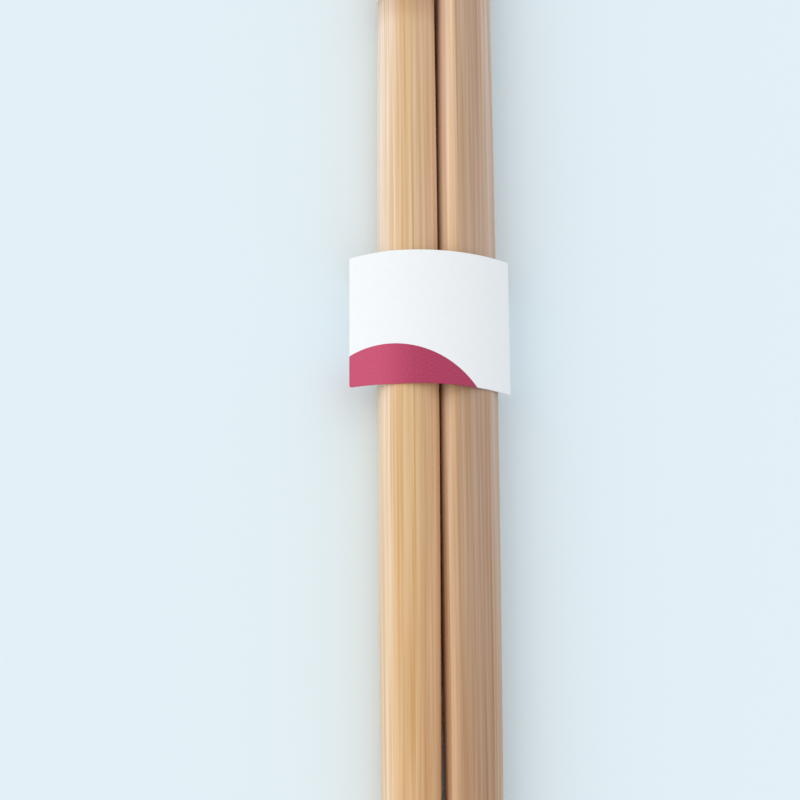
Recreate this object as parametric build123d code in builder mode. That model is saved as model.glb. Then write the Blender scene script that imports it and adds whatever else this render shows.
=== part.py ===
# A pair of bamboo chopsticks, tapered towards both ends and held side by side by a paper band.
#
# Millimetres. The sticks run along Y, X goes across the pair and Z is up. The origin is under the
# middle of the band, on the surface that the banded pair lies on.
import math
import os

from build123d import *

# Sticks: sizes at mid length, where they are widest, and at both ends
STICK_LENGTH = 240.0
LEFT_WIDTH = 7.88
LEFT_THICKNESS = 7.4
RIGHT_WIDTH = 7.76
RIGHT_THICKNESS = 7.1
END_WIDTH = 5.8
END_THICKNESS = 5.2
CORNER_RADIUS = 2.8
END_CORNER_RADIUS = 1.7
FACE_CROWN = 0.35
END_ROUNDING = 0.6
PAIR_GAP = 0.22

# Paper band: a strip folded at both sides, with narrower flaps behind the folds and a glued lap
# underneath
PAPER = 0.2
BAND_LENGTH = 18.9
BAND_CLEARANCE = 0.08
LEFT_OVERHANG = 4.22
RIGHT_OVERHANG = 1.55
CROWN_GAP = 0.9
FOLD_RADIUS = 0.3
FLAP_INSET = 3.0
FLAP_TAPER = 4.0
LAP_WIDTH = 7.5
LAP_RAMP = 1.2

# A stick is lofted in this many equal spans
SPANS = 6

# Fillets keep to this share of the smaller half of a section
MOST_ROUNDING = 0.9

# Where the pieces lie
band_width = LEFT_OVERHANG + LEFT_WIDTH + PAIR_GAP + RIGHT_WIDTH + RIGHT_OVERHANG
left_axis = -band_width / 2 + LEFT_OVERHANG + LEFT_WIDTH / 2
right_axis = band_width / 2 - RIGHT_OVERHANG - RIGHT_WIDTH / 2
band_floor = PAPER
stick_floor = band_floor + PAPER + BAND_CLEARANCE


def between(middle, end, share):
    """A size along the stick: full at mid length, falling as a parabola towards both ends."""
    return middle + (end - middle) * share**2


def stick_section(share, axis, mid_width, mid_thickness):
    """The section of a stick at a share of its half length: four crowned faces, rounded long edges."""
    width = between(mid_width, END_WIDTH, share)
    thickness = between(mid_thickness, END_THICKNESS, share)
    corner = between(CORNER_RADIUS, END_CORNER_RADIUS, share)
    side = width / 2
    top = thickness / 2
    edge_x = side - FACE_CROWN
    edge_z = top - FACE_CROWN
    centre = (axis, share * STICK_LENGTH / 2, stick_floor + mid_thickness / 2)
    with BuildSketch(Plane(centre, x_dir=(1, 0, 0), z_dir=(0, -1, 0))) as section:
        with BuildLine():
            ThreePointArc((-edge_x, edge_z), (0, top), (edge_x, edge_z))
            ThreePointArc((edge_x, edge_z), (side, 0), (edge_x, -edge_z))
            ThreePointArc((edge_x, -edge_z), (0, -top), (-edge_x, -edge_z))
            ThreePointArc((-edge_x, -edge_z), (-side, 0), (-edge_x, edge_z))
        make_face()
        fillet(section.vertices(), min(corner, MOST_ROUNDING * min(edge_x, edge_z)))
    return section.sketch


def make_stick(axis, mid_width, mid_thickness):
    """A stick lofted from end to end, each span through its middle too, with its two cut ends eased."""
    with BuildPart() as stick:
        for span in range(SPANS):
            shares = [2 * (span + step) / SPANS - 1 for step in (0, 0.5, 1)]
            loft([stick_section(share, axis, mid_width, mid_thickness) for share in shares])
        ends = stick.faces().sort_by(Axis.Y)
        fillet(ends[0].edges() + ends[-1].edges(), END_ROUNDING)
    return stick


def rounded_edges(axis, mid_width, mid_thickness):
    """The four rounded long edges of a stick at mid length, as arcs, from left to right."""
    section = stick_section(0.0, axis, mid_width, mid_thickness)
    return section.edges().sort_by(SortBy.RADIUS)[:4].sort_by(Axis.X)


def arch_through(left_corner, right_corner):
    """Centre and radius of the arch that clears both upper corners and rises between them."""
    left = left_corner.arc_center
    right = right_corner.arc_center
    clear = max(left_corner.radius, right_corner.radius) + BAND_CLEARANCE + PAPER
    half = (right - left).length / 2
    rise = clear + CROWN_GAP
    radius = (half**2 + rise**2 - clear**2) / (2 * CROWN_GAP)
    down = (left - right).cross(Vector(0, 1, 0)).normalized()
    return (left + right) / 2 + down * (radius - rise), radius


def fold_on_arch(centre, radius, x):
    """The point of the arch at which the strip is folded back under the sticks."""
    return Vector(x, 0, centre.Z + math.sqrt(radius**2 - (x - centre.X) ** 2))


def foot_below(fold, corner):
    """Where the back panel, drawn past a lower corner, meets the flat of the panel."""
    to_corner = corner.arc_center - fold
    reach = corner.arc_center.Z - band_floor
    fall = math.asin(reach / to_corner.length) + math.asin(-to_corner.Z / to_corner.length)
    run = (fold.Z - band_floor) / math.tan(fall)
    return Vector(fold.X + math.copysign(run, to_corner.X), 0, band_floor)


left_chopstick = make_stick(left_axis, LEFT_WIDTH, LEFT_THICKNESS)
right_chopstick = make_stick(right_axis, RIGHT_WIDTH, RIGHT_THICKNESS)

left_lower, left_upper = rounded_edges(left_axis, LEFT_WIDTH, LEFT_THICKNESS)[:2].sort_by(Axis.Z)
right_lower, right_upper = rounded_edges(right_axis, RIGHT_WIDTH, RIGHT_THICKNESS)[2:].sort_by(Axis.Z)
arch_centre, arch_radius = arch_through(left_upper, right_upper)
left_fold = fold_on_arch(arch_centre, arch_radius, -band_width / 2)
right_fold = fold_on_arch(arch_centre, arch_radius, band_width / 2)
left_foot = foot_below(left_fold, left_lower)
right_foot = foot_below(right_fold, right_lower)
crown = arch_centre + Vector(0, 0, arch_radius)
lap_middle = (left_lower.arc_center.X + right_lower.arc_center.X) / 2

with BuildPart() as paper_band:
    with BuildSketch(Plane.XZ) as strip:
        with BuildLine():
            ThreePointArc((left_fold.X, left_fold.Z), (crown.X, crown.Z), (right_fold.X, right_fold.Z))
            Polyline(
                (right_fold.X, right_fold.Z),
                (right_foot.X, band_floor),
                (left_foot.X, band_floor),
                (left_fold.X, left_fold.Z),
            )
        make_face()
        folds = strip.vertices().sort_by(Axis.X)
        fillet([folds[0], folds[-1]], FOLD_RADIUS)
        feet = strip.vertices().group_by(Axis.Y)[0].sort_by(Axis.X)
        fillet(feet[0], left_lower.arc_center.Z - band_floor)
        feet = strip.vertices().group_by(Axis.Y)[0].sort_by(Axis.X)
        fillet(feet[-1], right_lower.arc_center.Z - band_floor)
        offset(amount=-PAPER, mode=Mode.SUBTRACT)
        with BuildLine():
            Polyline(
                (lap_middle + LAP_WIDTH / 2, band_floor),
                (lap_middle + LAP_WIDTH / 2, 0),
                (lap_middle - LAP_WIDTH / 2, 0),
                (lap_middle - LAP_WIDTH / 2 - LAP_RAMP, band_floor),
                close=True,
            )
        make_face()
    extrude(amount=BAND_LENGTH / 2, both=True)
    for fold, foot in ((left_fold, left_foot), (right_fold, right_foot)):
        drop = FLAP_TAPER * (fold.Z - foot.Z) / (fold - foot).length
        flap_edge = BAND_LENGTH / 2 - FLAP_INSET
        with BuildSketch(Plane.YZ.offset(lap_middle)):
            with BuildLine():
                Polyline(
                    (BAND_LENGTH / 2, fold.Z),
                    (flap_edge, fold.Z - drop),
                    (flap_edge, 0),
                    (BAND_LENGTH / 2, 0),
                    close=True,
                )
            make_face()
            mirror(about=Plane.YZ)
        extrude(amount=fold.X - lap_middle, mode=Mode.SUBTRACT)

left_chopstick.part.label = "left_chopstick"
right_chopstick.part.label = "right_chopstick"
paper_band.part.label = "paper_band"

os.makedirs("parts", exist_ok=True)
export_step(left_chopstick.part, "parts/left_chopstick.step")
export_step(right_chopstick.part, "parts/right_chopstick.step")
export_step(paper_band.part, "parts/paper_band.step")
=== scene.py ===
# The look of a pair of bamboo chopsticks held by a paper band: fine meshes of the three pieces,
# bamboo and printed paper, a pale floor, soft light and the camera.
import math

import bpy
from mathutils import Matrix, Vector, noise


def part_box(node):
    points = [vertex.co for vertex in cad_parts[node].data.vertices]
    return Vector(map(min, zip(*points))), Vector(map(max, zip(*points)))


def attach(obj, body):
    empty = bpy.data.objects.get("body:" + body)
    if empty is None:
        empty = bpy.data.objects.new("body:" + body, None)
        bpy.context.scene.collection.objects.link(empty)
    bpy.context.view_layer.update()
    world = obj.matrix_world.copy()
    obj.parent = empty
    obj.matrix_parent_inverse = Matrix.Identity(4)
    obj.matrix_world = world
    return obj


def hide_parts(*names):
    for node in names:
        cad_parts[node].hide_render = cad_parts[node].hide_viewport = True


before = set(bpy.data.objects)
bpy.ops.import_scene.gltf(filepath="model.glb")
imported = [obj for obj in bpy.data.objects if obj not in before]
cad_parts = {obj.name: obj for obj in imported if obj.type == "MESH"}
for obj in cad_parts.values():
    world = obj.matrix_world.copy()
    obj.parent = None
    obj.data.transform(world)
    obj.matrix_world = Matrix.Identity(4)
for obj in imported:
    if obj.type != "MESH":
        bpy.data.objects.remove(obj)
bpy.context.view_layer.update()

MM = 0.001

# Sticks: what the solids' boxes don't tell
END_WIDTH = 5.8 * MM
END_THICKNESS = 5.2 * MM
CORNER_RADIUS = 2.8 * MM
END_CORNER_RADIUS = 1.7 * MM
FACE_CROWN = 0.35 * MM
END_ROUNDING = 0.6 * MM

# Surface of the sticks: planing marks, in waves per millimetre, and the knot of the left stick
PLANING = 0.015 * MM
PLANING_WAVES = Vector((0.7, 0.03, 0.7))
KNOT_PLACE = 48.0 * MM
KNOT_REACH = 2.5 * MM
KNOT_SWELL = 0.03 * MM

# Band: the paper, how far it clears the sticks, and how it is folded
PAPER = 0.2 * MM
BAND_CLEARANCE = 0.08 * MM
CROWN_GAP = 0.9 * MM
LEFT_OVERHANG = 4.22 * MM
RIGHT_OVERHANG = 1.55 * MM
FOLD_RADIUS = 0.3 * MM
FLAP_INSET = 3.0 * MM
FLAP_TAPER = 4.0 * MM
LAP_WIDTH = 7.5 * MM
LAP_RAMP = 1.2 * MM

# How far the band's cut edges draw in at the left fold, and over what length of the strip
EDGE_DRAW = 0.27 * MM
EDGE_DRAW_REACH = 5.5 * MM

# Print: a crimson disc whose middle lies below the band, measured on the flat strip from the arch's crown
DISC_ACROSS = -7.04 * MM
DISC_ALONG = -19.2 * MM
DISC_RADIUS = 15.4 * MM
DISC_SOFTNESS = 0.03 * MM
DISC_WANDER = 0.10 * MM

# Fineness of the meshes
FACE_STEPS = 14
CORNER_STEPS = 12
RINGS = 320
ROUNDING_STEPS = 6
CAP_RINGS = 6
BAND_ROWS = 48
PAPER_STEP = 0.4 * MM
LEAST_ARC_STEPS = 6
SAME_POINT = PAPER_STEP / 1000
SHARP_TURN = math.radians(60)

# Faces that carry no print lie this far off the disc on the flat strip
OFF_PRINT = 1.0

# Noise runs from 0 to 1 about its middle, and most of it lies in this span
NOISE_MIDDLE = 0.5
NOISE_SPAN = (0.3, 0.7)

# Bamboo's grain: how fine it is across and along a stick, per millimetre, and each stick's place in it
DRIFT_GRAIN = (0.35, 0.008, 0.35)
STREAK_GRAIN = (1.9, 0.012, 1.9)
FINE_GRAIN = (4.5, 0.03, 4.5)
FIBRE_GRAIN = (1.3, 0.004, 1.3)
LEFT_CUT = (37, 10, 24)
RIGHT_CUT = (122, 49, 146)

# How the grain shows: a sway of the colours across each stick, streaks of lighter and darker tone, and
# fibres as fine lines
ACROSS_SWAY = 0.06
STREAK_SHARE = 0.6
TONE_SPAN = (0.32, 0.68)
DARK_STREAK = (0.89, 0.79, 0.63, 1)
PALE_STREAK = (1.09, 1.19, 1.36, 1)
FIBRE_EDGE = 0.27
FIBRE_CORE = 0.08
FIBRE_FAINT = 0.35
FIBRE_STRONG = 0.95
FIBRE_DEPTH = 0.5
FIBRE_TINT = (0.70, 0.57, 0.44, 1)
GRAIN_RELIEF = 0.04 * MM
GRAIN_STRENGTH = 0.35

# How the knot shows: a wide stain and a thin dark line, both ragged where streaks cross them
KNOT_RAGGED = 4.0 * MM
KNOT_STAIN_REACH = 5.0 * MM
KNOT_STAIN_CORE = 1.0 * MM
KNOT_STAIN = (0.85, 0.80, 0.78, 1)
KNOT_LINE_REACH = 0.7 * MM
KNOT_LINE_CORE = 0.2 * MM
KNOT_LINE_SHARE = 0.6
KNOT_LINE = (0.60, 0.50, 0.43, 1)
NO_TINT = (1, 1, 1, 1)

# Gloss of the bamboo, which varies with its fine grain
GLOSS_SPAN = (0.2, 0.8)
BAMBOO_DULL = 0.52
BAMBOO_SLEEK = 0.40
BAMBOO_SPECULAR = 0.4

# Colours of the bamboo across each stick from the left, its own tone with painted light and shade in it,
# and its tone along it from the near end, with a painted haze towards the far end
# Golden: a painted sheen on the left shoulder, which faces the light, and painted light on the right
# shoulder against its shade
GOLDEN_LAYERS_AND_PAINTED_LIGHT = [
    (0.05, (0.815, 0.60, 0.40, 1)),
    (0.28, (0.725, 0.45, 0.215, 1)),
    (0.46, (0.70, 0.43, 0.20, 1)),
    (0.64, (0.635, 0.375, 0.185, 1)),
    (0.88, (0.72, 0.43, 0.23, 1)),
]
# Paler and bluer at the far end: a painted haze of pale light, besides the bamboo's own drift along it
GOLDEN_TINTS_AND_PAINTED_HAZE = [
    (0.30, (0.98, 0.95, 0.92, 1)),
    (0.42, (1.0, 1.0, 1.0, 1)),
    (0.56, (1.04, 1.10, 1.24, 1)),
]
# Brown: painted shade at the seam, painted light on the left shoulder, which the left stick shades, and a
# painted reflection at the right edge
BROWN_LAYERS_AND_PAINTED_LIGHT = [
    (0.03, (0.62, 0.41, 0.27, 1)),
    (0.14, (0.765, 0.53, 0.35, 1)),
    (0.27, (0.485, 0.305, 0.182, 1)),
    (0.66, (0.43, 0.27, 0.18, 1)),
    (0.92, (0.58, 0.41, 0.30, 1)),
]
# Paler at the far end: a painted haze of pale light, besides the bamboo's own drift along it
BROWN_TINTS_AND_PAINTED_HAZE = [
    (0.28, (0.96, 0.89, 0.79, 1)),
    (0.42, (1.0, 1.0, 1.0, 1)),
    (0.56, (1.08, 1.10, 1.12, 1)),
]

# Paper: its tooth and faint clouds, in grains per millimetre
TOOTH_GRAIN = 9.0
TOOTH_RELIEF = 0.02 * MM
TOOTH_STRENGTH = 0.20
CLOUD_GRAIN = 0.9
PAPER_DARK = (0.875, 0.88, 0.885, 1)
PAPER_PALE = (0.89, 0.895, 0.90, 1)
PAPER_ROUGHNESS = 0.60
PAPER_SPECULAR = 0.5

# Ink: painted light makes it paler towards the left fold, which faces the light, between two places on the
# flat strip, with specks of paper in it
INK_PAINTED_LIT_PLACE = -8.8 * MM
INK_DEEP_PLACE = -1.8 * MM
INK_PAINTED_LIT = (0.55, 0.038, 0.117, 1)
INK_DEEP = (0.405, 0.019, 0.083, 1)
INK_ROUGHNESS = 0.36
SPECK_GRAIN = 4.0
SPECK_SPAN = (0.38, 0.75)
SPECK_MOST = 0.22
SPECK = (0.62, 0.14, 0.22, 1)

# Floor
FLOOR_SIZE = 4.0
FLOOR_GRAIN = 3.0
FLOOR_DARK = (0.80, 0.885, 0.92, 1)
FLOOR_PALE = (0.81, 0.895, 0.93, 1)
FLOOR_ROUGHNESS = 0.7
FLOOR_SPECULAR = 0.2

# Light: a pale room all round and a wide window to the left
ROOM_COLOUR = (0.925, 0.97, 1.01, 1)
ROOM_STRENGTH = 0.86
WINDOW_TOWARD = Vector((1.32, 0.0, -1.0))
WINDOW_WIDTH = math.radians(62)
WINDOW_COLOUR = (1.02, 0.965, 0.895)
WINDOW_STRENGTH = 0.80

# Camera, as the photograph was taken
CAMERA_TARGET = Vector((-3.77, -10.276, 4.0)) * MM
CAMERA_DISTANCE = 394.67 * MM
CAMERA_ELEVATION = math.radians(69.524)
CAMERA_SWING = math.radians(10.432)
CAMERA_ROLL = math.radians(-0.345)
CAMERA_LENS = 134.89
CAMERA_SENSOR = 36.0
CAMERA_NEAREST = 10 * MM


def add_mesh(name, points, faces, body="root"):
    """A smooth mesh piece that rides on a body."""
    mesh = bpy.data.meshes.new(name)
    mesh.from_pydata(points, [], faces)
    mesh.polygons.foreach_set("use_smooth", [True] * len(mesh.polygons))
    mesh.update()
    piece = bpy.data.objects.new(name, mesh)
    bpy.context.scene.collection.objects.link(piece)
    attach(piece, body)
    return piece


def facing(angle):
    return Vector((math.cos(angle), math.sin(angle)))


def on_circle(centre, radius, angle):
    return centre + radius * facing(angle)


def angle_of(vector):
    return math.atan2(vector.y, vector.x)


# Sticks


def meeting(first, first_radius, second, second_radius):
    """The point up and to the right at which two circles cross."""
    apart = second - first
    along = (apart.length_squared + first_radius**2 - second_radius**2) / (2 * apart.length)
    aside = math.sqrt(first_radius**2 - along**2)
    ahead = apart.normalized()
    crossings = [first + ahead * along + ahead.orthogonal() * way for way in (aside, -aside)]
    return max(crossings, key=lambda point: point.x + point.y)


class Section:
    """Four crowned faces with rounded corners: a stick cut across, in X and Z about its middle."""

    def __init__(self, width, thickness, corner):
        edge_x = width / 2 - FACE_CROWN
        edge_z = thickness / 2 - FACE_CROWN
        self.corner = corner
        self.top_radius = (edge_x**2 + FACE_CROWN**2) / (2 * FACE_CROWN)
        self.side_radius = (edge_z**2 + FACE_CROWN**2) / (2 * FACE_CROWN)
        self.top_centre = Vector((0, thickness / 2 - self.top_radius))
        self.side_centre = Vector((width / 2 - self.side_radius, 0))
        self.corner_centre = meeting(
            self.top_centre, self.top_radius - corner, self.side_centre, self.side_radius - corner
        )

    def quarter(self):
        """Points and normals from the middle of the top to the middle of the right side."""
        top_end = angle_of(self.corner_centre - self.top_centre)
        side_end = angle_of(self.corner_centre - self.side_centre)
        arcs = [
            (self.top_centre, self.top_radius, math.pi / 2, top_end, FACE_STEPS),
            (self.corner_centre, self.corner, top_end, side_end, CORNER_STEPS),
            (self.side_centre, self.side_radius, side_end, 0.0, FACE_STEPS),
        ]
        found = []
        for centre, radius, start, end, steps in arcs:
            for step in range(steps):
                angle = start + (end - start) * step / steps
                found.append((on_circle(centre, radius, angle), facing(angle)))
        found.append((on_circle(self.side_centre, self.side_radius, 0), facing(0)))
        return found

    def outline(self):
        """Points and normals all the way round, clockwise from the middle of the top."""
        quarter = self.quarter()
        back = quarter[::-1]
        turned = []
        for part, across, up in ((quarter, 1, 1), (back, 1, -1), (quarter, -1, -1), (back, -1, 1)):
            flip = Vector((across, up))
            turned += [(point * flip, normal * flip) for point, normal in part[:-1]]
        return turned


def between(middle, end, share):
    """A size along the stick: full at mid length, falling as a parabola towards both ends."""
    return middle + (end - middle) * share**2


class Stick:
    """A stick's place and size, read from its solid."""

    def __init__(self, node):
        low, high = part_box(node)
        self.axis = (low.x + high.x) / 2
        self.height = (low.z + high.z) / 2
        self.width = high.x - low.x
        self.thickness = high.z - low.z
        self.length = high.y - low.y

    def section(self, share):
        return Section(
            between(self.width, END_WIDTH, share),
            between(self.thickness, END_THICKNESS, share),
            between(CORNER_RADIUS, END_CORNER_RADIUS, share),
        )

    def corner(self, across, up):
        """Middle of one of the four rounded corners at mid length, in X and Z."""
        return Vector((self.axis, self.height)) + self.section(0).corner_centre * Vector((across, up))


def ring_places(length):
    """Distance along the stick and inset of each ring, with both ends rounded."""
    straight = length / 2 - END_ROUNDING
    rings = [(straight * (2 * step / RINGS - 1), 0.0) for step in range(RINGS + 1)]
    far = []
    for step in range(ROUNDING_STEPS):
        turn = math.pi / 2 * (step + 1) / ROUNDING_STEPS
        far.append((straight + END_ROUNDING * math.sin(turn), END_ROUNDING * (1 - math.cos(turn))))
    near = [(-along, inset) for along, inset in far[::-1]]
    return near + rings + far


def unevenness(point, knot):
    """How far the bamboo stands proud of its true form at a point."""
    in_mm = point / MM
    lift = PLANING * noise.noise(in_mm * PLANING_WAVES)
    if knot is not None:
        lift += KNOT_SWELL * math.exp(-(((point.y - knot) / KNOT_REACH) ** 2))
    return lift


def ring_faces(outer, inner):
    return [(outer[step - 1], outer[step], inner[step], inner[step - 1]) for step in range(len(outer))]


def close_end(points, rim, flip):
    """Faces of a flat end inside a rim, in rings that shrink to the middle."""
    middle = sum((points[index] for index in rim), Vector()) / len(rim)
    faces = []
    outer = rim
    for ring in range(1, CAP_RINGS):
        share = 1 - ring / CAP_RINGS
        inner = list(range(len(points), len(points) + len(rim)))
        points.extend([middle + (points[index] - middle) * share for index in rim])
        faces += ring_faces(outer, inner)
        outer = inner
    points.append(middle)
    hub = len(points) - 1
    faces += [(outer[step - 1], outer[step], hub) for step in range(len(outer))]
    return [face[::-1] for face in faces] if flip else faces


def make_stick(name, node, stick, knot=None):
    """The mesh of a stick, ring by ring from the near end to the far one."""
    places = ring_places(stick.length)
    points = []
    for along, inset in places:
        for flat, normal in stick.section(2 * along / stick.length).outline():
            flat = flat - normal * inset
            point = Vector((stick.axis + flat.x, along, stick.height + flat.y))
            outward = Vector((normal.x, 0, normal.y))
            points.append(point + outward * unevenness(point, knot))
    around = len(points) // len(places)
    rings = [list(range(start, start + around)) for start in range(0, len(points), around)]
    faces = []
    for ring, after in zip(rings, rings[1:]):
        faces += ring_faces(ring, after)
    faces += close_end(points, rings[0], flip=True)
    faces += close_end(points, rings[-1], flip=False)
    piece = add_mesh(name, points, faces)
    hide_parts(node)
    return piece


# Paper band


class Strip:
    """The outer face of the paper as seen from the end: points and normals along the strip, in X and Z.

    Its front is where the arch starts and ends, and its crown where the arch is highest, as lengths
    along the strip.
    """

    def __init__(self):
        self.points = []
        self.normals = []
        self.front = None
        self.crown = None

    def line(self, start, end):
        ahead = (end - start).normalized()
        normal = Vector((ahead.y, -ahead.x))
        steps = max(1, math.ceil((end - start).length / PAPER_STEP))
        for step in range(steps + 1):
            self.add(start.lerp(end, step / steps), normal)

    def arc(self, centre, radius, start, end):
        steps = max(LEAST_ARC_STEPS, math.ceil(abs(end - start) * radius / PAPER_STEP))
        for step in range(steps + 1):
            angle = start + (end - start) * step / steps
            self.add(on_circle(centre, radius, angle), facing(angle))

    def add(self, point, normal):
        if self.points and (point - self.points[-1]).length < SAME_POINT:
            return
        self.points.append(point)
        self.normals.append(normal)

    def lengths(self):
        run = [0.0]
        for before, after in zip(self.points, self.points[1:]):
            run.append(run[-1] + (after - before).length)
        return run

    def length(self):
        return self.lengths()[-1]

    def inset(self, run):
        """How much narrower the strip is on each side, at a length along it.

        The cut edges draw in a little towards the left fold, and the flaps taper from the folds.
        """
        right_fold, left_fold = self.front
        behind = max(right_fold - run, run - left_fold, 0.0)
        drawn = EDGE_DRAW * min(max(1 - (left_fold - run) / EDGE_DRAW_REACH, 0.0), 1.0)
        return drawn + (FLAP_INSET - drawn) * min(behind / FLAP_TAPER, 1.0)


class Panel:
    """One side of the band behind the fold: from the fold on the arch to the round foot under a stick."""

    def __init__(self, side, fold, foot_centre, foot_radius, arch_centre, arch_radius):
        to_foot = foot_centre - fold
        fall = math.asin(foot_radius / to_foot.length) + math.asin(-to_foot.y / to_foot.length)
        outward = Vector((side * math.sin(fall), -math.cos(fall)))
        up_panel = Vector((side * math.cos(fall), math.sin(fall)))
        inner = fold - outward * FOLD_RADIUS
        reach = arch_radius - FOLD_RADIUS
        from_centre = inner - arch_centre
        half = from_centre.dot(up_panel)
        root = math.sqrt(half**2 - from_centre.length_squared + reach**2)
        self.foot_radius = foot_radius
        self.fold_centre = inner - up_panel * min(half + root, half - root, key=abs)
        self.on_arch = angle_of(self.fold_centre - arch_centre)
        self.on_panel = angle_of(outward)


def strip_of(left, right):
    """The strip's outer face, from its hidden inner end round the sticks to the glued outer end."""
    floor = PAPER
    upper_left = left.corner(-1, 1)
    upper_right = right.corner(1, 1)
    clear = CORNER_RADIUS + BAND_CLEARANCE + PAPER
    half = (upper_right - upper_left).length / 2
    rise = clear + CROWN_GAP
    radius = (half**2 + rise**2 - clear**2) / (2 * CROWN_GAP)
    across = (upper_right - upper_left).normalized()
    down = Vector((across.y, -across.x))
    centre = (upper_left + upper_right) / 2 + down * (radius - rise)

    def panel(side, edge, corner):
        fold = Vector((edge, centre.y + math.sqrt(radius**2 - (edge - centre.x) ** 2)))
        return Panel(side, fold, corner, corner.y - floor, centre, radius)

    lower_left = left.corner(-1, -1)
    lower_right = right.corner(1, -1)
    left_edge = left.axis - left.width / 2 - LEFT_OVERHANG
    right_edge = right.axis + right.width / 2 + RIGHT_OVERHANG
    left_panel = panel(-1, left_edge, lower_left)
    right_panel = panel(1, right_edge, lower_right)
    lap_middle = (lower_left.x + lower_right.x) / 2
    lap_left = lap_middle - LAP_WIDTH / 2
    lap_right = lap_middle + LAP_WIDTH / 2
    straight_down = -math.pi / 2
    on_left_panel = left_panel.on_panel + math.tau

    strip = Strip()
    strip.line(Vector((lap_left, floor)), Vector((lower_right.x, floor)))
    strip.arc(lower_right, right_panel.foot_radius, straight_down, right_panel.on_panel)
    strip.arc(right_panel.fold_centre, FOLD_RADIUS, right_panel.on_panel, right_panel.on_arch)
    arch_start = strip.length()
    strip.arc(centre, radius, right_panel.on_arch, left_panel.on_arch)
    arch_end = strip.length()
    strip.arc(left_panel.fold_centre, FOLD_RADIUS, left_panel.on_arch, on_left_panel)
    strip.arc(lower_left, left_panel.foot_radius, on_left_panel, straight_down + math.tau)
    strip.line(Vector((lower_left.x, floor)), Vector((lap_left - LAP_RAMP, floor)))
    strip.line(Vector((lap_left - LAP_RAMP, floor)), Vector((lap_left, 0)))
    strip.line(Vector((lap_left, 0)), Vector((lap_right, 0)))
    strip.front = (arch_start, arch_end)
    strip.crown = arch_start + radius * (math.pi / 2 - right_panel.on_arch)
    return strip


def band_faces(count):
    """Faces of the band, each with whether its place on the print shows.

    The points lie in rows of that count, first those of the outer face and then those of the inner one.
    """
    inside = count * (BAND_ROWS + 1)
    faces = []
    for row in range(BAND_ROWS):
        for step in range(count - 1):
            corner = row * count + step
            outer = (corner, corner + count, corner + 1 + count, corner + 1)
            faces.append((outer, True))
            faces.append((tuple(index + inside for index in outer[::-1]), False))
    for step in range(count - 1):
        last = BAND_ROWS * count + step
        faces.append(((step, step + 1, step + 1 + inside, step + inside), True))
        faces.append(((last + 1, last, last + inside, last + 1 + inside), True))
    for row in range(BAND_ROWS):
        start = row * count
        end = start + count - 1
        faces.append(((start + count, start, start + inside, start + count + inside), False))
        faces.append(((end, end + count, end + count + inside, end + inside), False))
    return faces


def mark_sharp(mesh):
    """Keeps the paper's cut edges crisp: an edge is sharp where its two faces turn far from each other."""
    sharp = mesh.attributes.new("sharp_edge", "BOOLEAN", "EDGE")
    normals = {}
    for face in mesh.polygons:
        for key in face.edge_keys:
            normals.setdefault(key, []).append(face.normal)
    for edge in mesh.edges:
        first, second = normals[edge.key]
        sharp.data[edge.index].value = first.dot(second) < math.cos(SHARP_TURN)


def make_band(left, right):
    """The mesh of the band: the strip's outer and inner face, carried along the sticks in rows."""
    low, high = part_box("paper_band")
    strip = strip_of(left, right)
    runs = strip.lengths()
    count = len(runs)
    halves = [(high.y - low.y) / 2 - strip.inset(run) for run in runs]
    points = []
    for depth in (0, PAPER):
        for row in range(BAND_ROWS + 1):
            share = 2 * row / BAND_ROWS - 1
            for point, normal, half in zip(strip.points, strip.normals, halves):
                place = point - normal * depth
                points.append(Vector((place.x, share * half, place.y)))
    faces = band_faces(count)
    piece = add_mesh("paper_band_loop", points, [corners for corners, printed in faces])
    flat = piece.data.uv_layers.new(name="strip")
    for face, (corners, printed) in zip(piece.data.polygons, faces):
        for loop in face.loop_indices:
            vertex = piece.data.loops[loop].vertex_index
            across = strip.crown - runs[vertex % count]
            along = points[vertex].y + (0 if printed else OFF_PRINT)
            flat.data[loop].uv = (across, along)
    mark_sharp(piece.data)
    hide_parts("paper_band")
    return piece


# Materials


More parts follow.
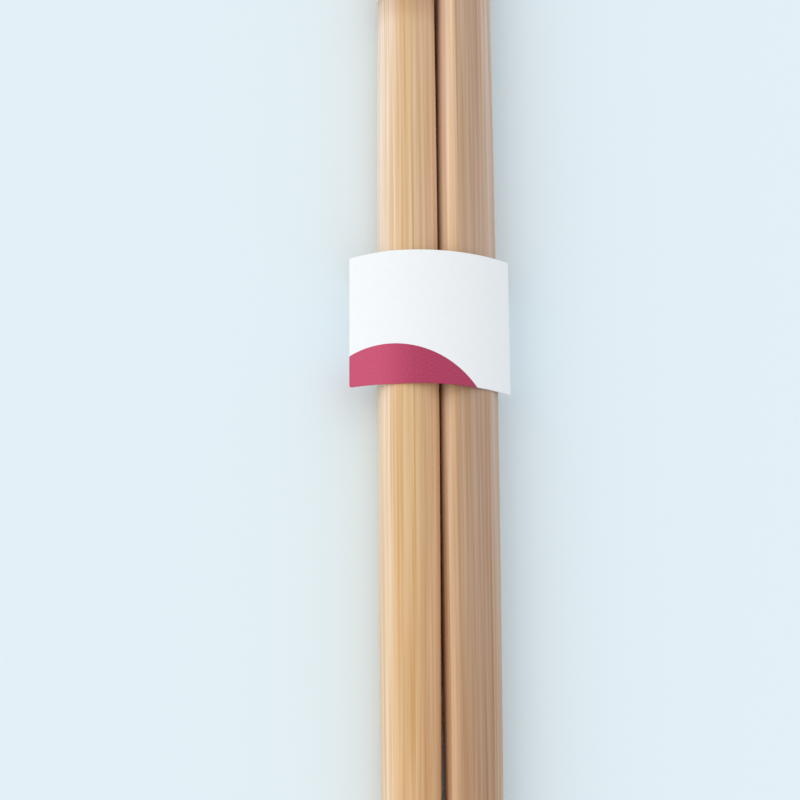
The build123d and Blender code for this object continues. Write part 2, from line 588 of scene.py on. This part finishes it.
class Shading:
    """A material's node tree, with short ways to add nodes."""

    def __init__(self, name):
        self.material = bpy.data.materials.new(name)
        self.material.use_nodes = True
        self.tree = self.material.node_tree
        self.shader = self.tree.nodes["Principled BSDF"]

    def add(self, kind, inputs, **settings):
        made = self.tree.nodes.new(kind)
        for setting, value in settings.items():
            setattr(made, setting, value)
        for socket, value in inputs.items():
            self.give(made.inputs[socket], value)
        return made

    def give(self, socket, value):
        if isinstance(value, bpy.types.NodeSocket):
            self.tree.links.new(value, socket)
        else:
            socket.default_value = value

    def set(self, **inputs):
        """Sets the shader's own sockets, with an underscore for each space in a socket's name."""
        for socket, value in inputs.items():
            self.give(self.shader.inputs[socket.replace("_", " ")], value)

    def math(self, operation, first, second=0.0):
        return self.add("ShaderNodeMath", {0: first, 1: second}, operation=operation).outputs[0]

    def scaled(self, vector, scale, shift=(0, 0, 0)):
        inputs = {"Vector": vector, "Scale": scale, "Location": shift}
        return self.add("ShaderNodeMapping", inputs).outputs[0]

    def noise(self, vector, scale=1.0, detail=2.0, roughness=0.5):
        inputs = {"Vector": vector, "Scale": scale, "Detail": detail, "Roughness": roughness}
        return self.add("ShaderNodeTexNoise", inputs).outputs["Fac"]

    def cells(self, vector):
        """Distance from the nearest of many scattered points."""
        inputs = {"Vector": vector, "Scale": 1.0, "Randomness": 1.0}
        return self.add("ShaderNodeTexVoronoi", inputs, feature="F1").outputs["Distance"]

    def remap(self, value, low, high, to_low=0.0, to_high=1.0, smooth=True):
        inputs = {"Value": value, "From Min": low, "From Max": high, "To Min": to_low, "To Max": to_high}
        kind = "SMOOTHSTEP" if smooth else "LINEAR"
        return self.add("ShaderNodeMapRange", inputs, interpolation_type=kind).outputs[0]

    def mix(self, share, first, second, blend="MIX"):
        inputs = {0: share, 6: first, 7: second}
        return self.add("ShaderNodeMix", inputs, data_type="RGBA", blend_type=blend).outputs[2]

    def tinted(self, colour, tint):
        return self.mix(1.0, colour, tint, "MULTIPLY")

    def ramp(self, value, stops):
        made = self.add("ShaderNodeValToRGB", {"Fac": value})
        made.color_ramp.interpolation = "EASE"
        for place, colour in stops[1:-1]:
            made.color_ramp.elements.new(place).color = colour
        for element, (place, colour) in zip(made.color_ramp.elements, stops):
            element.position = place
            element.color = colour
        return made.outputs["Color"]

    def bump(self, height, strength, distance):
        inputs = {"Height": height, "Strength": strength, "Distance": distance}
        return self.add("ShaderNodeBump", inputs).outputs[0]


def knot_tint(look, along, streaks, knot):
    """The stain and the dark line of a knot, as a tint by the distance from it."""
    ragged = look.math("MULTIPLY", look.math("SUBTRACT", streaks, NOISE_MIDDLE), KNOT_RAGGED)
    beyond = look.math("SUBTRACT", look.math("ADD", along, ragged), knot)
    away = look.math("ABSOLUTE", beyond)
    stain = look.mix(look.remap(away, KNOT_STAIN_REACH, KNOT_STAIN_CORE), NO_TINT, KNOT_STAIN)
    line = look.remap(away, KNOT_LINE_REACH, KNOT_LINE_CORE, 0.0, KNOT_LINE_SHARE)
    return look.mix(line, stain, KNOT_LINE)


def bamboo(name, stick, layers_and_painted_light, tints_and_painted_haze, cut, knot=None):
    """Planed bamboo: long fine fibres through the whole stick, so that they end as dots on the cut ends.

    The colours across the stick are partly its own, as they lie through the wall of the cane, and partly
    painted light and shade: paler where a shoulder faces the light, darker at the seam. Along it the
    tone drifts from the near end to the far one, with a painted pale haze at the far end. The cut is the
    stick's place in the grain.
    """
    look = Shading(name)
    place = look.add("ShaderNodeTexCoord", {}).outputs["Object"]
    parts = look.add("ShaderNodeSeparateXYZ", {"Vector": place})
    half = stick.width / 2
    across = look.remap(parts.outputs["X"], stick.axis - half, stick.axis + half, smooth=False)
    along = look.remap(parts.outputs["Y"], -stick.length / 2, stick.length / 2, smooth=False)
    in_mm = look.scaled(place, (1 / MM, 1 / MM, 1 / MM), cut)
    drift = look.noise(look.scaled(in_mm, DRIFT_GRAIN), detail=1.0)
    streaks = look.noise(look.scaled(in_mm, STREAK_GRAIN), detail=2.0, roughness=0.6)
    fine = look.noise(look.scaled(in_mm, FINE_GRAIN), detail=1.5, roughness=0.6)
    fibre_line = look.remap(look.cells(look.scaled(in_mm, FIBRE_GRAIN)), FIBRE_EDGE, FIBRE_CORE)

    sway = look.remap(drift, *NOISE_SPAN, -ACROSS_SWAY, ACROSS_SWAY, smooth=False)
    swayed_across = look.math("ADD", across, sway)
    # Painted light and shade are part of the colours across each stick, and a painted haze is part of the
    # tone along it, on top of the bamboo's own colour
    colour = look.tinted(look.ramp(swayed_across, layers_and_painted_light), look.ramp(along, tints_and_painted_haze))
    coarse_tone = look.math("MULTIPLY", streaks, STREAK_SHARE)
    fine_tone = look.math("MULTIPLY", fine, 1 - STREAK_SHARE)
    tone = look.remap(look.math("ADD", coarse_tone, fine_tone), *TONE_SPAN)
    colour = look.tinted(colour, look.mix(tone, DARK_STREAK, PALE_STREAK))
    fibre_tone = look.remap(fine, *NOISE_SPAN, FIBRE_FAINT, FIBRE_STRONG)
    fibre_share = look.math("MULTIPLY", fibre_line, fibre_tone)
    colour = look.mix(fibre_share, colour, look.tinted(colour, FIBRE_TINT))
    if knot is not None:
        colour = look.tinted(colour, knot_tint(look, parts.outputs["Y"], streaks, knot))
    height = look.math("SUBTRACT", fine, look.math("MULTIPLY", fibre_line, FIBRE_DEPTH))
    look.set(
        Base_Color=colour,
        Roughness=look.remap(fine, *GLOSS_SPAN, BAMBOO_DULL, BAMBOO_SLEEK),
        Specular_IOR_Level=BAMBOO_SPECULAR,
        Normal=look.bump(height, GRAIN_STRENGTH, GRAIN_RELIEF),
    )
    return look.material


def printed_paper(name):
    """White uncoated paper with a plain crimson disc printed on its outer face, the ink paler towards the
    left fold with painted light.
    """
    look = Shading(name)
    strip = look.add("ShaderNodeUVMap", {}, uv_map="strip").outputs[0]
    in_mm = look.scaled(strip, (1 / MM, 1 / MM, 1 / MM))
    parts = look.add("ShaderNodeSeparateXYZ", {"Vector": in_mm})
    tooth = look.noise(in_mm, TOOTH_GRAIN, detail=3.0, roughness=0.6)
    cloud = look.noise(in_mm, CLOUD_GRAIN, detail=3.0, roughness=0.6)
    specks = look.noise(in_mm, SPECK_GRAIN, detail=2.0, roughness=0.7)

    white = look.mix(look.remap(cloud, *NOISE_SPAN), PAPER_DARK, PAPER_PALE)
    # Painted light: the ink is paler towards the left fold, where the band faces the light
    depth = look.remap(parts.outputs["X"], INK_PAINTED_LIT_PLACE / MM, INK_DEEP_PLACE / MM)
    ink = look.mix(depth, INK_PAINTED_LIT, INK_DEEP)
    ink = look.mix(look.remap(specks, *SPECK_SPAN, 0.0, SPECK_MOST), ink, SPECK)

    across = look.math("SUBTRACT", parts.outputs["X"], DISC_ACROSS / MM)
    along = look.math("SUBTRACT", parts.outputs["Y"], DISC_ALONG / MM)
    squares = look.math("ADD", look.math("MULTIPLY", across, across), look.math("MULTIPLY", along, along))
    from_middle = look.math("SQRT", squares)
    wander = look.math("MULTIPLY", look.math("SUBTRACT", tooth, NOISE_MIDDLE), DISC_WANDER / MM)
    edge = look.math("SUBTRACT", look.math("ADD", from_middle, wander), DISC_RADIUS / MM)
    inked = look.remap(edge, DISC_SOFTNESS / MM, -DISC_SOFTNESS / MM)
    look.set(
        Base_Color=look.mix(inked, white, ink),
        Roughness=look.remap(inked, 0.0, 1.0, PAPER_ROUGHNESS, INK_ROUGHNESS, smooth=False),
        Specular_IOR_Level=PAPER_SPECULAR,
        Normal=look.bump(tooth, TOOTH_STRENGTH, TOOTH_RELIEF),
    )
    return look.material


def pale_floor(name):
    """A pale matt floor, very faintly clouded."""
    look = Shading(name)
    place = look.add("ShaderNodeTexCoord", {}).outputs["Object"]
    look.set(
        Base_Color=look.mix(look.noise(place, FLOOR_GRAIN), FLOOR_DARK, FLOOR_PALE),
        Roughness=FLOOR_ROUGHNESS,
        Specular_IOR_Level=FLOOR_SPECULAR,
    )
    return look.material


# Floor, light and camera


def make_floor():
    bpy.ops.mesh.primitive_plane_add(size=FLOOR_SIZE)
    floor = bpy.context.object
    floor.name = "floor"
    floor.data.materials.append(pale_floor("pale_floor"))


def make_world():
    """Even pale light from all round."""
    world = bpy.data.worlds.new("pale_room")
    world.use_nodes = True
    light = world.node_tree.nodes["Background"]
    light.inputs["Color"].default_value = ROOM_COLOUR
    light.inputs["Strength"].default_value = ROOM_STRENGTH
    bpy.context.scene.world = world


def make_window():
    """A soft light from far off, as wide as a big window."""
    lamp = bpy.data.lights.new("window", "SUN")
    lamp.angle = WINDOW_WIDTH
    lamp.energy = WINDOW_STRENGTH
    lamp.color = WINDOW_COLOUR
    made = bpy.data.objects.new("window", lamp)
    made.rotation_euler = WINDOW_TOWARD.to_track_quat("-Z", "Y").to_euler()
    bpy.context.scene.collection.objects.link(made)


def make_camera():
    """The photograph's view: raised and swung about its target, and slightly rolled."""
    back = Vector((
        -math.sin(CAMERA_SWING) * math.sin(CAMERA_ELEVATION),
        -math.cos(CAMERA_ELEVATION),
        math.cos(CAMERA_SWING) * math.sin(CAMERA_ELEVATION),
    ))
    up = Vector((0, 1, 0))
    up = (up - back * up.dot(back)).normalized()
    right = up.cross(back)
    tilt = Matrix.Rotation(CAMERA_ROLL, 3, back)
    axes = Matrix((tilt @ right, tilt @ up, back)).transposed().to_4x4()
    data = bpy.data.cameras.new("camera")
    data.lens = CAMERA_LENS
    data.sensor_width = CAMERA_SENSOR
    data.clip_start = CAMERA_NEAREST
    camera = bpy.data.objects.new("camera", data)
    camera.matrix_world = Matrix.Translation(CAMERA_TARGET + back * CAMERA_DISTANCE) @ axes
    bpy.context.scene.collection.objects.link(camera)
    bpy.context.scene.camera = camera


# Pieces and what surrounds them

left = Stick("left_chopstick")
right = Stick("right_chopstick")

left_piece = make_stick("left_stick", "left_chopstick", left, KNOT_PLACE)
golden = bamboo("golden_bamboo", left, GOLDEN_LAYERS_AND_PAINTED_LIGHT, GOLDEN_TINTS_AND_PAINTED_HAZE, LEFT_CUT, KNOT_PLACE)
left_piece.data.materials.append(golden)

right_piece = make_stick("right_stick", "right_chopstick", right)
brown = bamboo("brown_bamboo", right, BROWN_LAYERS_AND_PAINTED_LIGHT, BROWN_TINTS_AND_PAINTED_HAZE, RIGHT_CUT)
right_piece.data.materials.append(brown)

band_piece = make_band(left, right)
band_piece.data.materials.append(printed_paper("printed_paper"))

make_floor()
make_world()
make_window()
make_camera()
bpy.context.scene.view_settings.view_transform = "Standard"
